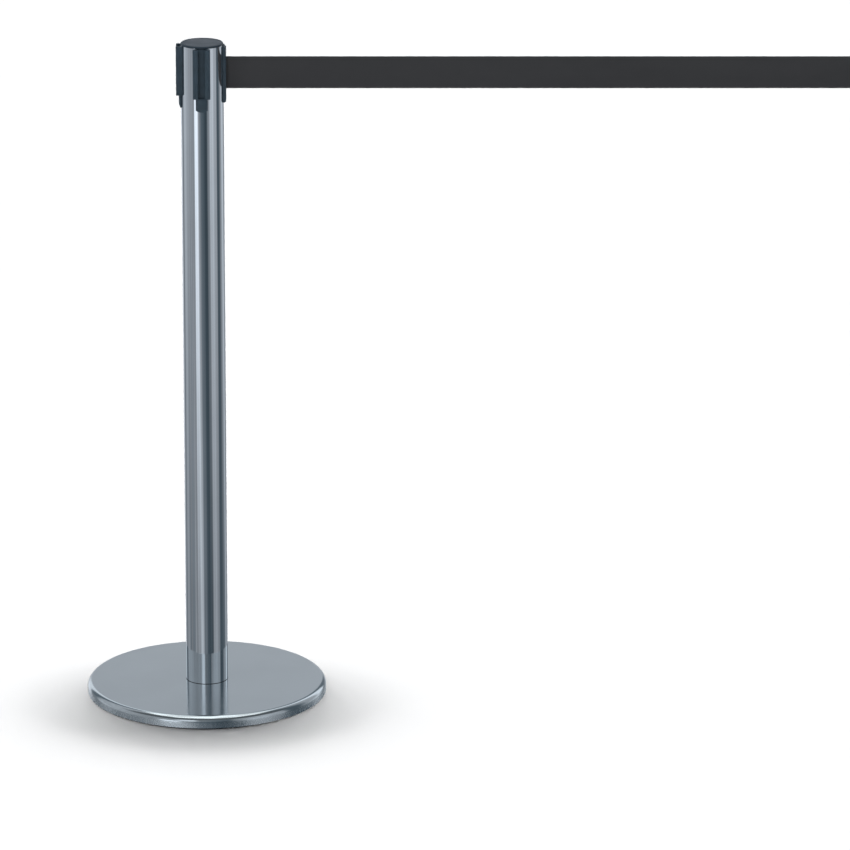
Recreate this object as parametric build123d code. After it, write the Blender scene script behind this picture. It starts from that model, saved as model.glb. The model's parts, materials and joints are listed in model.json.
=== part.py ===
"""Retractable belt stanchion: a weighted base, a slotted post and a belt cassette in its head.

Millimetres. +Z is up, the origin is on the floor under the centre of the base, and the belt
leaves the head along +X. The head has a receiver slot on each of its three other sides.
"""
from build123d import *
from math import acos, atan2, cos, hypot, pi, radians, sin, sqrt
import os

# ---- overall sizes ----
total_height = 1005.0
base_radius = 180.0
base_height = 20.0
tube_radius = 31.5
tube_wall = 1.5

# ---- belt ----
belt_width = 48.0
belt_thickness = 0.6
belt_drawn = 960.0          # from the outlet's face to the end clip
belt_left_on_spool = 1040.0
belt_top_drop = 21.0        # from the top of the cap to the belt's upper edge

# ---- base ----
cover_sheet = 0.8
cover_rim_radius = 9.0
cover_floor_gap = 2.0
weight_gap = 0.2            # between the weight and the inside of the cover
weight_floor_gap = 3.0
weight_recess_margin = 42.0 # from the base's edge to the recess under the weight
weight_recess_depth = 5.0
weight_boss_radius = 34.0
weight_rib_width = 10.0
weight_rib_count = 6
ring_margin = 14.0          # from the base's edge to the rubber ring
ring_width = 15.0
ring_groove_depth = 2.0
ring_gap = 0.2
bolt_radius = 5.9
bolt_head_across_flats = 18.0
bolt_head_height = 7.5
bolt_hole_radius = 6.6
bolt_seat_depth = 5.0       # from the weight's top down to the washer's seat
bolt_tip_inset = 4.0        # the bolt stops this far below the plug's top
bolt_head_pocket_radius = 17.0
washer_radius = 14.0
washer_thickness = 2.5
spring_washer_radius = 10.5
spring_washer_split = 1.6
gasket_thickness = 0.6
gasket_lip = 0.2
plug_height = 24.0
plug_boss_radius = 13.0
plug_boss_height = 8.0
plug_gap = 0.1
thread_radius = 6.0

# ---- cap ----
cap_plate = 2.8
cap_overhang_gap = 0.3      # how far the cap stays inside the tube's outline
cap_edge_radius = 1.2
cap_skirt_wall = 2.0
cap_skirt_depth = 4.2
cap_skirt_gap = 0.15
cap_seat_gap = 0.1

# ---- receivers on the front, left and back ----
hug_gap = 0.15              # between a moulding and the outside of the tube
receiver_width = 25.4
receiver_reach = 6.8        # how far the lips stand out of the tube
receiver_top_drop = 4.2
receiver_below_belt = 8.5
channel_width = 17.0
channel_depth = 4.4
channel_floor_gap = 0.3     # the channel's floor stands this far out of the tube
mouth_width = 10.0
tongue_margin = 0.3         # the tongue is wider than the channel by this on each side
tongue_reach = 3.2
tongue_below_belt = 29.5
tongue_round = 3.0          # rise of the rounded lower end at its sides
tongue_taper = 7.0
tongue_edge = 0.7
lip_chamfer = 0.8

# ---- slots in the tube, and the mouldings' webs that pass through them ----
slot_width = 10.6
slot_below_belt = 26.5
web_side_gap = 0.2
web_end_gap = 0.3
web_top_gap = 0.5           # from the web's top to the cassette's
foot_width = 15.6
foot_thickness = 1.6
foot_gap = 0.2
foot_inset = 4.1            # from the cassette's outside to the groove's far wall

# ---- belt outlet ----
outlet_width = 18.0
outlet_reach = 3.7
outlet_top_drop = 6.0
outlet_below_belt = 20.0
outlet_shoulder = 4.0
outlet_corner = 3.0
outlet_top_edge = 0.6
belt_slot_width = 2.0
belt_slot_margin = 1.0      # above and below the belt
outlet_screw_inset = 11.0
outlet_slot_inset = 3.0     # from the outlet's lower end up to the tube's slot behind it
outlet_screw_margin = 2.2   # between the belt slot and the upper screw's head
screw_radius = 1.45
screw_hole_radius = 1.5
screw_head_radius = 2.8
screw_head_height = 1.6
screw_head_edge = 0.2
screw_seat_gap = 0.15
screw_socket_radius = 0.9
screw_tip_gap = 0.5
outlet_screw_length = 8.0

# ---- cassette ----
cassette_gap = 0.3          # between the cassette and the inside of the tube
cassette_top_drop = 11.0
cassette_floor = 3.0
cavity_clearance = 1.6      # between the spool's flange and the cavity's wall
lid_plate = 3.0
lid_spigot = 4.0
lid_gap = 0.1
lid_boss_gap = 0.3          # end play of the spool
lid_screw_count = 4
lid_screw_length = 12.0

# ---- spool ----
core_radius = 10.0
flange_thickness = 1.6
flange_belt_gap = 0.6
flange_roll_margin = 0.65   # flange beyond the fully wound roll
shaft_radius = 3.0
shaft_bore_gap = 0.04
shaft_head_radius = 5.0
shaft_head_height = 2.5
shaft_end = 2.6             # shaft beyond the lid
shaft_groove_depth = 0.6
shaft_groove_width = 1.0
shaft_clip_thickness = 0.8
shaft_clip_reach = 2.5
shaft_clip_opening = 3.6
arbor_radius = 5.0
arbor_bore_radius = 4.23
arbor_grip = 16.0           # length of arbor inside the spool's core
arbor_end_gap = 0.1
press_gap = 0.03
bush_length = 10.0
bush_flange = 0.8
bush_flange_reach = 2.0
thrust_washer_thickness = 0.8
anchor_pin_radius = 1.5
anchor_pin_inset = 2.3
anchor_pin_gap = 0.2
anchor_slit = 1.0
flange_spigot_inset = 2.0
roll_gap = 0.05
peel_gap = 0.35             # between the roll and the belt that leaves it
peel_angle = 25.0

# ---- brake ----
brake_height = 13.0
brake_spool_gap = 2.0
brake_cavity_gap = 0.1
brake_shoe_head_gap = 2.0
drum_wall = 1.7
shoe_travel = 0.5
shoe_drum_gap = 0.2         # left between lining and drum at full travel
lining_thickness = 1.0
shoe_depth = 8.0
shoe_half_angle = 55.0
carrier_gap = 0.3
carrier_plate = 1.5
carrier_rim_gap = 0.5
carrier_hub_gap = 2.8
carrier_hub_radius = 9.0
guide_rib_width = 5.0
guide_rib_height = 3.5
sliding_gap = 0.2

# ---- power spring ----
spring_width = 16.0
spring_strip = 0.4
spring_turns = 8
spring_side_gap = 0.8
spring_first_gap = 0.8      # between the arbor and the first turn
spring_last_gap = 0.4
cup_sheet = 0.8
cup_gap = 0.1
cup_floor_gap = 0.3
cup_brake_gap = 1.0
cup_hole_radius = 6.2

# ---- guide rollers ----
roller_radius = 2.4
roller_bore_gap = 0.05
roller_pin_radius = 1.2
roller_pin_grip = 3.0
roller_pin_gap = 0.02
roller_pin_end_gap = 0.1
roller_belt_gap = 0.25
roller_flange_gap = 0.7
roller_pocket_gap = 0.4
roller_pocket_side = 1.4
pocket_margin = 2.0         # above and below the belt
pocket_slot_width = 3.0
roller_end_gap = 0.6

# ---- end clip ----
clip_length = 31.0
clip_margin = 6.0           # the clip above and below the belt
clip_thickness = 17.0
clip_wall = 2.0
clip_slot_width = 2.4
clip_cover_thickness = 2.0
clip_corner = 2.0
clip_pocket_beyond_pin = 5.0
clip_pocket_margin = 1.5
clip_screw_depth = 12.0
rail_gap = 0.3              # between the rail and a receiver's channel, all round
rail_lip_gap = 0.5          # between the clip and a receiver's lips
rail_bevel = 1.2
rail_neck_inset = 2.5
loop_pin_radius = 2.0
loop_pin_place = 17.0       # from the clip's mouth
loop_sewn_length = 8.0
loop_pin_gap = 0.1
loop_pin_seat = 1.5
loop_pin_seat_gap = 0.03
clip_screw_spacing = 40.0
clip_screw_place = 26.5

# ---- worked out from the sizes above ----
tube_inner = tube_radius - tube_wall
tube_top = total_height - cap_plate - cap_seat_gap
belt_centre = total_height - belt_top_drop - belt_width / 2
belt_low = belt_centre - belt_width / 2
belt_high = belt_centre + belt_width / 2
slot_bottom = belt_low - slot_below_belt
receiver_low = belt_low - receiver_below_belt
outlet_low = belt_low - outlet_below_belt
outlet_slot_bottom = outlet_low + outlet_slot_inset
clip_height = belt_width + 2 * clip_margin
ring_outer_radius = base_radius - ring_margin
weight_recess_radius = base_radius - weight_recess_margin

full_roll_radius = sqrt(core_radius**2 + (belt_drawn + belt_left_on_spool) * belt_thickness / pi)
roll_radius = sqrt(core_radius**2 + belt_left_on_spool * belt_thickness / pi)
flange_radius = full_roll_radius + flange_roll_margin
cavity_radius = flange_radius + cavity_clearance
cassette_radius = tube_inner - cassette_gap

spool_low = belt_low - flange_belt_gap - flange_thickness
spool_high = belt_high + flange_belt_gap + flange_thickness
brake_high = spool_low - brake_spool_gap
brake_low = brake_high - brake_height
cup_high = brake_low - cup_brake_gap
cup_low = cup_high - spring_width - 2 * (cup_sheet + spring_side_gap)
cassette_inside_low = cup_low - cup_floor_gap
cassette_low = cassette_inside_low - cassette_floor
cassette_high = total_height - cassette_top_drop
arbor_low = cassette_inside_low + thrust_washer_thickness + arbor_end_gap
arbor_high = spool_low + arbor_grip
lid_high = cassette_high + lid_plate
shaft_high = lid_high + shaft_end
web_low = slot_bottom + web_end_gap
web_high = cassette_high - web_top_gap
hug_radius = tube_radius + hug_gap
carrier_low = brake_low + carrier_gap
guide_low = carrier_low + carrier_plate
spring_room = cavity_radius - cup_gap - cup_sheet

roller_centre_x = flange_radius + roller_flange_gap + roller_radius
roller_centre_y = belt_thickness / 2 + roller_belt_gap + roller_radius
pocket_outer = roller_centre_x + roller_radius + roller_pocket_gap
pocket_low = belt_low - pocket_margin
pocket_high = belt_high + pocket_margin
outlet_face = tube_radius + outlet_reach
clip_face = outlet_face + belt_drawn
drum_inner = cavity_radius - brake_cavity_gap - drum_wall
lining_radius = drum_inner - shoe_travel - shoe_drum_gap

FRONT, LEFT, BACK = -90, 180, 90     # directions of the receivers about Z
OVER = 1.0                           # how far a cutter runs past what it cuts


def disc(radius, low, high):
    return Pos(0, 0, (low + high) / 2) * Cylinder(radius, high - low)


def ring(outer, inner, low, high):
    return disc(outer, low, high) - disc(inner, low - OVER, high + OVER)


def block(x, y, z):
    """A box between two values on each axis."""
    centre = [(a + b) / 2 for a, b in (x, y, z)]
    return Pos(*centre) * Box(x[1] - x[0], y[1] - y[0], z[1] - z[0])


def plate(points, low, high):
    """An upright prism on a plan outline."""
    return Pos(0, 0, low) * extrude(make_face(Polyline(*points, close=True)), high - low)


def turned(outline):
    """A solid of revolution from a closed outline of (radius, height) edges."""
    return revolve(Plane.XZ * make_face(outline), Axis.Z)


def lathe(points):
    return turned(Polyline(*points, close=True))


def around(piece, angle):
    return Rot(0, 0, angle) * piece


def band(path_edges, width, low, high):
    """An upright strip that follows a plan path."""
    strip = trace(path_edges, width)
    return Pos(0, 0, low) * extrude(strip, high - low, dir=(0, 0, 1))


def screw(length, across, along):
    """A countersunk screw whose head is flush with the plane at across, pointing along."""
    shank = disc(screw_radius, -length, -screw_head_height)
    head = lathe([(0, -screw_head_height), (screw_radius, -screw_head_height),
                  (screw_head_radius, -screw_head_edge), (screw_head_radius, 0), (0, 0)])
    recess = disc(screw_socket_radius, -screw_socket_radius, OVER)
    return Plane(origin=across, z_dir=along) * (shank + head - recess)


def screw_seat(across, along, length):
    """The hole and countersink that a screw needs."""
    hole = disc(screw_hole_radius, -length - screw_tip_gap, OVER)
    wide = screw_head_radius + screw_seat_gap
    deep = screw_head_height + screw_seat_gap
    sink = lathe([(0, -deep), (screw_hole_radius, -deep), (wide, -screw_head_edge), (wide, OVER),
                  (0, OVER)])
    return Plane(origin=across, z_dir=along) * (hole + sink)


# ---- base ----
def floor_ring():
    top = weight_floor_gap + ring_groove_depth - ring_gap
    return ring(ring_outer_radius, ring_outer_radius - ring_width, 0, top)


def weight_outline():
    """The weight's section: flat on top, with its rim rounded inside the cover."""
    gap = cover_sheet + weight_gap
    edge = base_radius - gap
    top = base_height - gap
    corner = cover_rim_radius - gap
    rim = [Line((0, weight_floor_gap), (edge, weight_floor_gap)),
           Line((edge, weight_floor_gap), (edge, top - corner)),
           RadiusArc((edge, top - corner), (edge - corner, top), -corner),
           Line((edge - corner, top), (0, top)),
           Line((0, top), (0, weight_floor_gap))]
    return rim


def base_weight():
    top = base_height - cover_sheet - weight_gap
    recess_top = weight_floor_gap + weight_recess_depth
    seat = top - bolt_seat_depth
    body = turned(weight_outline())
    body -= ring(weight_recess_radius, weight_boss_radius, weight_floor_gap - OVER, recess_top)
    for index in range(weight_rib_count):
        rib = block((weight_boss_radius - OVER, weight_recess_radius + OVER),
                    (-weight_rib_width / 2, weight_rib_width / 2), (weight_floor_gap, recess_top))
        body += around(rib, index * 360 / weight_rib_count)
    body -= ring(ring_outer_radius + ring_gap, ring_outer_radius - ring_width - ring_gap,
                 weight_floor_gap - OVER, weight_floor_gap + ring_groove_depth)
    body -= disc(bolt_head_pocket_radius, weight_floor_gap - OVER, seat)
    body -= disc(bolt_hole_radius, 0, base_height)
    return body


def base_cover():
    edge, top = base_radius, base_height
    inner_edge, inner_top = base_radius - cover_sheet, base_height - cover_sheet
    corner = cover_rim_radius
    inner_corner = corner - cover_sheet
    hole = bolt_hole_radius
    outline = [Line((hole, top), (edge - corner, top)),
               RadiusArc((edge - corner, top), (edge, top - corner), corner),
               Line((edge, top - corner), (edge, cover_floor_gap)),
               Line((edge, cover_floor_gap), (inner_edge, cover_floor_gap)),
               Line((inner_edge, cover_floor_gap), (inner_edge, top - corner)),
               RadiusArc((inner_edge, top - corner), (edge - corner, inner_top), -inner_corner),
               Line((edge - corner, inner_top), (hole, inner_top)),
               Line((hole, inner_top), (hole, top))]
    return turned(outline)


def base_fasteners():
    seat = base_height - cover_sheet - weight_gap - bolt_seat_depth
    washer_low = seat - washer_thickness
    spring_low = washer_low - washer_thickness
    head_low = spring_low - bolt_head_height
    tip = base_height + gasket_thickness + plug_height - bolt_tip_inset
    washer = ring(washer_radius, bolt_hole_radius, washer_low, seat)
    spring_washer = ring(spring_washer_radius, bolt_hole_radius, spring_low, washer_low)
    split = block((0, washer_radius), (-spring_washer_split / 2, spring_washer_split / 2),
                  (spring_low - OVER, washer_low + OVER))
    spring_washer -= around(split, 20)
    hexagon = RegularPolygon(bolt_head_across_flats / 2, 6, major_radius=False)
    bolt = Pos(0, 0, head_low) * extrude(hexagon, bolt_head_height)
    bolt += disc(bolt_radius, spring_low - OVER, tip)
    return washer, spring_washer, bolt


# ---- post ----
def tube_gasket():
    return ring(tube_radius + gasket_lip, tube_inner - gasket_lip, base_height,
                base_height + gasket_thickness)


def tube_foot_plug():
    low = base_height + gasket_thickness
    plug = disc(tube_inner - plug_gap, low, low + plug_height - plug_boss_height)
    plug += disc(plug_boss_radius, low + OVER, low + plug_height)
    return plug - disc(thread_radius, low - OVER, low + plug_height + OVER)


def post_tube():
    low = base_height + gasket_thickness
    tube = ring(tube_radius, tube_inner, low, tube_top)
    for angle, bottom in ((0, outlet_slot_bottom), (FRONT, slot_bottom), (LEFT, slot_bottom),
                          (BACK, slot_bottom)):
        slot = block((tube_radius / 2, tube_radius + OVER), (-slot_width / 2, slot_width / 2),
                     (bottom, tube_top + OVER))
        tube -= around(slot, angle)
    return tube


def head_cap():
    radius = tube_radius - cap_overhang_gap
    low = total_height - cap_plate
    outline = [Line((0, low), (radius, low)),
               Line((radius, low), (radius, total_height - cap_edge_radius)),
               RadiusArc((radius, total_height - cap_edge_radius),
                         (radius - cap_edge_radius, total_height), -cap_edge_radius),
               Line((radius - cap_edge_radius, total_height), (0, total_height)),
               Line((0, total_height), (0, low))]
    skirt_radius = tube_inner - cap_skirt_gap
    cap = turned(outline)
    return cap + ring(skirt_radius, skirt_radius - cap_skirt_wall, low - cap_skirt_depth, low + OVER)


# ---- mouldings that pass through the tube's slots, drawn facing +X ----
def slot_filling(inside, low, high):
    """The web that fills the tube's slot, from inside the tube out into a moulding."""
    half = slot_width / 2 - web_side_gap
    outside = tube_radius + channel_floor_gap
    upper = block((tube_inner + web_side_gap, outside), (-half, half), (low, high))
    return upper + block((inside, outside), (-half, half), (low, web_high))


def receiver_foot():
    """The foot that hooks into the cassette's groove."""
    foot_low = cassette_radius - foot_inset + foot_gap
    return block((foot_low, foot_low + foot_thickness), (-foot_width / 2, foot_width / 2),
                 (web_low, web_high))


def receiver():
    low = receiver_low
    high = total_height - receiver_top_drop
    face = tube_radius + receiver_reach
    half = receiver_width / 2
    floor = tube_radius + channel_floor_gap
    lip = floor + channel_depth
    outline = [(0, -half), (face - lip_chamfer, -half), (face, -half + lip_chamfer),
               (face, half - lip_chamfer), (face - lip_chamfer, half), (0, half)]
    flared = mouth_width / 2 + lip_chamfer
    mouth = [(lip - OVER, -mouth_width / 2), (face - lip_chamfer, -mouth_width / 2),
             (face, -flared), (face + OVER, -flared), (face + OVER, flared), (face, flared),
             (face - lip_chamfer, mouth_width / 2), (lip - OVER, mouth_width / 2)]
    body = plate(outline, low, high)
    body -= block((floor, lip), (-channel_width / 2, channel_width / 2), (low, high + OVER))
    body -= plate(mouth, low - OVER, high + OVER)
    body -= disc(hug_radius, low - OVER, high + OVER)
    inside = cassette_radius - foot_inset + foot_gap
    return body + tongue(low) + slot_filling(inside, web_low, high) + receiver_foot()


def tongue(top):
    """The backing that runs on below the lips and closes the channel's lower end."""
    low = belt_low - tongue_below_belt
    reach = tube_radius + tongue_reach
    shell = lathe([(hug_radius, low), (hug_radius + tongue_edge, low), (reach, low + tongue_taper),
                   (reach, top), (hug_radius, top)])
    half = channel_width / 2 + tongue_margin
    side = low + tongue_round
    front = [Line((-half, top), (-half, side)), ThreePointArc((-half, side), (0, low), (half, side)),
             Line((half, side), (half, top)), Line((half, top), (-half, top))]
    return shell & extrude(Plane.YZ * make_face(front), reach + OVER)


def belt_outlet():
    low = outlet_low
    high = total_height - outlet_top_drop + outlet_shoulder / 2
    shoulder = hug_radius + outlet_top_edge
    half = outlet_width / 2
    side_view = make_face([Line((0, low), (outlet_face - outlet_corner, low)),
                           RadiusArc((outlet_face - outlet_corner, low),
                                     (outlet_face, low + outlet_corner), -outlet_corner),
                           Line((outlet_face, low + outlet_corner), (outlet_face, high - outlet_shoulder)),
                           Line((outlet_face, high - outlet_shoulder), (shoulder, high)),
                           Line((shoulder, high), (0, high)), Line((0, high), (0, low))])
    body = Pos(0, half, 0) * extrude(Plane.XZ * side_view, outlet_width)
    body = chamfer(body.edges().filter_by(Axis.Z).sort_by(Axis.X)[-2:], lip_chamfer)
    body -= disc(hug_radius, low - OVER, high + OVER)
    body += slot_filling(cassette_radius + web_side_gap, outlet_slot_bottom + web_end_gap, tube_top)
    body -= block((cassette_radius - OVER, outlet_face + OVER), (-belt_slot_width / 2, belt_slot_width / 2),
                  (belt_low - belt_slot_margin, belt_high + belt_slot_margin))
    for place in outlet_screw_places():
        body -= screw_seat(place, (1, 0, 0), outlet_screw_length)
    return body


def outlet_screw_places():
    low = outlet_low + outlet_screw_inset
    high = belt_high + belt_slot_margin + screw_head_radius + outlet_screw_margin
    return [(outlet_face, 0, low), (outlet_face, 0, high)]


# ---- cassette ----
def foot_groove():
    """The T-shaped groove in the cassette's wall that takes a receiver's foot."""
    far = cassette_radius - foot_inset
    height = (slot_bottom, cassette_high + OVER)
    stem = block((far, cassette_radius + OVER), (-slot_width / 2, slot_width / 2), height)
    foot = block((far, far + foot_thickness + 2 * foot_gap),
                 (-foot_width / 2 - foot_gap, foot_width / 2 + foot_gap), height)
    return stem + foot


def cassette_body():
    body = disc(cassette_radius, cassette_low, cassette_high)
    body -= disc(cavity_radius, cassette_inside_low, cassette_high + OVER)
    body -= disc(shaft_radius + press_gap, cassette_low - OVER, cassette_high)
    for angle in (FRONT, LEFT, BACK):
        body -= around(foot_groove(), angle)
    half = roller_centre_y + roller_radius + roller_pocket_side
    body -= block((cavity_radius / 2, pocket_outer), (-half, half), (pocket_low, pocket_high))
    body -= block((pocket_outer - OVER, cassette_radius + OVER),
                  (-pocket_slot_width / 2, pocket_slot_width / 2),
                  (belt_low - belt_slot_margin, belt_high + belt_slot_margin))
    for place in outlet_screw_places():
        body -= screw_seat(place, (1, 0, 0), outlet_screw_length)
    for side in (-1, 1):
        pin_hole = disc(roller_pin_radius + roller_pin_gap, pocket_low - roller_pin_grip,
                        pocket_high + roller_pin_grip)
        body -= Pos(roller_centre_x, side * roller_centre_y, 0) * pin_hole
    for x, y in lid_screw_places():
        body -= Pos(x, y, 0) * disc(screw_hole_radius, cassette_high - lid_screw_length, lid_high)
    return body


def lid_screw_places():
    reach = (cavity_radius + cassette_radius) / 2
    angles = [45 + index * 360 / lid_screw_count for index in range(lid_screw_count)]
    return [(reach * cos(radians(a)), reach * sin(radians(a))) for a in angles]


def cassette_lid():
    lid = disc(cassette_radius, cassette_high, lid_high)
    lid += disc(cavity_radius - lid_gap, cassette_high - lid_spigot, cassette_high + OVER)
    boss_low = spool_high + bush_flange + lid_boss_gap
    lid += disc(arbor_radius + bush_flange_reach, boss_low, cassette_high)
    lid -= disc(shaft_radius + press_gap, boss_low - OVER, lid_high + OVER)
    for x, y in lid_screw_places():
        lid -= screw_seat((x, y, lid_high), (0, 0, 1), lid_screw_length)
    return lid


def lid_screws():
    return [screw(lid_screw_length, (x, y, lid_high), (0, 0, 1)) for x, y in lid_screw_places()]


def outlet_screws():
    return [screw(outlet_screw_length, place, (1, 0, 0)) for place in outlet_screw_places()]


def spool_shaft():
    shaft = disc(shaft_radius, cassette_low - shaft_head_height, shaft_high)
    shaft += disc(shaft_head_radius, cassette_low - shaft_head_height, cassette_low)
    groove_floor = shaft_radius - shaft_groove_depth
    return shaft - ring(shaft_radius + OVER, groove_floor, lid_high, lid_high + shaft_groove_width)


def shaft_clip():
    """The E-shaped clip that holds the shaft against the lid."""
    high = lid_high + shaft_clip_thickness
    clip = ring(shaft_radius + shaft_clip_reach, shaft_radius - shaft_groove_depth, lid_high, high)
    opening = block((0, shaft_radius + shaft_clip_reach + OVER),
                    (-shaft_clip_opening / 2, shaft_clip_opening / 2), (lid_high - OVER, high + OVER))
    return clip - opening


def thrust_washer():
    return ring(arbor_radius + press_gap, shaft_radius + press_gap, cassette_inside_low,
                cassette_inside_low + thrust_washer_thickness)


# ---- spool ----
def spool_arbor():
    return ring(arbor_radius, arbor_bore_radius, arbor_low, arbor_high)


def spool_bush(low):
    return ring(arbor_bore_radius - press_gap, shaft_radius + shaft_bore_gap, low, low + bush_length)


def spool_bush_upper():
    low = spool_high - bush_length
    bush = ring(arbor_radius, shaft_radius + shaft_bore_gap, low, spool_high)
    return bush + ring(arbor_radius + bush_flange_reach, shaft_radius + shaft_bore_gap, spool_high,
                       spool_high + bush_flange)


def belt_spool():
    spool = ring(core_radius, arbor_radius + press_gap, spool_low, spool_high - flange_thickness)
    spool += ring(flange_radius, arbor_radius + press_gap, spool_low, spool_low + flange_thickness)
    spool += ring(core_radius - flange_spigot_inset, arbor_radius + press_gap, spool_low, spool_high)
    place = core_radius - anchor_pin_inset
    keyhole = Pos(place, 0, 0) * disc(anchor_pin_radius + anchor_pin_gap, belt_low, belt_high)
    slit = block((place, core_radius + OVER), (-anchor_slit / 2, anchor_slit / 2), (belt_low, belt_high))
    return spool - keyhole - slit


def spool_flange_top():
    spigot = core_radius - flange_spigot_inset + press_gap
    return ring(flange_radius, spigot, spool_high - flange_thickness, spool_high)


def belt_anchor_pin():
    pin = disc(anchor_pin_radius, belt_low + anchor_pin_gap, belt_high - anchor_pin_gap)
    return Pos(core_radius - anchor_pin_inset, 0, 0) * pin


def wound_belt():
    return ring(roll_radius, core_radius + roll_gap, belt_low, belt_high)


# ---- centrifugal brake ----
def brake_drum():
    outer = cavity_radius - brake_cavity_gap
    return ring(outer, drum_inner, brake_low, brake_high)


def brake_carrier():
    """The hub and plate that turn the shoes, with two ribs that the shoes slide along."""
    carrier = disc(lining_radius - carrier_rim_gap, carrier_low, guide_low)
    carrier += disc(carrier_hub_radius, carrier_low, brake_high - carrier_hub_gap)
    reach = lining_radius - lining_thickness - carrier_rim_gap
    carrier += block((-guide_rib_width / 2, guide_rib_width / 2), (-reach, reach),
                     (carrier_low, guide_low + guide_rib_height))
    return carrier - disc(arbor_radius + press_gap, brake_low - OVER, brake_high + OVER)


def shoe_sector(outer, inner):
    """An arc-shaped block centred on +Y."""
    low = guide_low + sliding_gap
    high = brake_high - brake_shoe_head_gap
    reach = 2 * outer
    left, right = radians(90 + shoe_half_angle), radians(90 - shoe_half_angle)
    wedge = [(0, 0), (reach * cos(right), reach * sin(right)), (0, reach),
             (reach * cos(left), reach * sin(left))]
    return ring(outer, inner, low, high) & plate(wedge, low, high)


def brake_shoe():
    outer = lining_radius - lining_thickness
    shoe = shoe_sector(outer, outer - shoe_depth)
    half = guide_rib_width / 2 + sliding_gap
    return shoe - block((-half, half), (0, outer + OVER),
                        (guide_low, guide_low + guide_rib_height + sliding_gap))


def brake_lining():
    return shoe_sector(lining_radius, lining_radius - lining_thickness)


# ---- power spring ----
def spring_cup():
    cup = ring(spring_room + cup_sheet, cup_hole_radius, cup_low, cup_high - cup_sheet)
    return cup - disc(spring_room, cup_low + cup_sheet, cup_high)


def spring_cup_lid():
    return ring(spring_room + cup_sheet, cup_hole_radius, cup_high - cup_sheet, cup_high)


def power_spring():
    """A flat spiral of half circles, alternately about two centres so that they run on smoothly."""
    low = cup_low + cup_sheet + spring_side_gap
    first = arbor_radius + spring_first_gap
    last = spring_room - spring_last_gap
    pitch = (last - first) / (spring_turns + 0.5)
    reach = cavity_radius
    strip = None
    for index in range(2 * spring_turns):
        radius = first + index * pitch / 2
        upper = index % 2 == 0
        shift = 0 if upper else -pitch / 2
        turn = Circle(radius + spring_strip / 2) - Circle(radius - spring_strip / 2)
        half = turn & Pos(0, reach if upper else -reach) * Rectangle(2 * reach, 2 * reach)
        half = Pos(shift, 0) * half
        strip = half if strip is None else strip + half
    return Pos(0, 0, low) * extrude(strip, spring_width, dir=(0, 0, 1))


# ---- guide rollers and the belt between the roll and the outlet ----
def guide_roller(side):
    roller = ring(roller_radius, roller_pin_radius + roller_bore_gap,
                  pocket_low + roller_end_gap, pocket_high - roller_end_gap)
    return Pos(roller_centre_x, side * roller_centre_y, 0) * roller


def guide_pins():
    length = roller_pin_grip - roller_pin_end_gap
    pin = disc(roller_pin_radius, pocket_low - length, pocket_high + length)
    return [Pos(roller_centre_x, side * roller_centre_y, 0) * pin for side in (-1, 1)]


def belt_lead():
    """The belt from the roll, round the back roller and out to the outlet's face."""
    around_roll = roll_radius + peel_gap + belt_thickness / 2
    around_roller = roller_radius + roller_belt_gap + belt_thickness / 2
    apart = hypot(roller_centre_x, roller_centre_y)
    leave = atan2(roller_centre_y, roller_centre_x) + acos((around_roll + around_roller) / apart)
    start = leave + radians(peel_angle)

    def on_roll(angle):
        return (around_roll * cos(angle), around_roll * sin(angle))

    def on_roller(angle):
        return (roller_centre_x + around_roller * cos(angle),
                roller_centre_y + around_roller * sin(angle))

    meet = leave + pi
    middle = (meet + 1.5 * pi) / 2
    path = [ThreePointArc(on_roll(start), on_roll((start + leave) / 2), on_roll(leave)),
            Line(on_roll(leave), on_roller(meet)),
            ThreePointArc(on_roller(meet), on_roller(middle), on_roller(1.5 * pi)),
            Line(on_roller(1.5 * pi), (outlet_face, 0))]
    return band(path, belt_thickness, belt_low, belt_high)


# ---- belt and end clip ----
def belt_span():
    return block((outlet_face, clip_face), (-belt_thickness / 2, belt_thickness / 2),
                 (belt_low, belt_high))


def belt_end_loop():
    """The belt's end: round the pin and sewn back on itself."""
    pin_x = clip_face + loop_pin_place
    turn = loop_pin_radius + loop_pin_gap + belt_thickness / 2
    neck_x = clip_face + loop_sewn_length
    spread = acos(turn / (pin_x - neck_x))
    strip = Pos(pin_x, 0) * (Circle(turn + belt_thickness / 2) - Circle(turn - belt_thickness / 2))
    for side in (-1, 1):
        touch = (pin_x - turn * cos(spread), side * turn * sin(spread))
        strip += trace(Line((neck_x - belt_thickness, side * belt_thickness / 2), touch), belt_thickness)
    strip += Pos((clip_face + neck_x) / 2, 0) * Rectangle(loop_sewn_length, 2 * belt_thickness)
    return Pos(0, 0, belt_low) * extrude(strip, belt_width, dir=(0, 0, 1))


def belt_end_pin():
    half = clip_height / 2 - loop_pin_seat - loop_pin_gap
    pin = disc(loop_pin_radius, belt_centre - half, belt_centre + half)
    return Pos(clip_face + loop_pin_place, 0, 0) * pin


def clip_screw_seats():
    y = clip_thickness / 2
    return [(clip_face + clip_screw_place, y, belt_centre + side * clip_screw_spacing / 2)
            for side in (-1, 1)]


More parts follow.
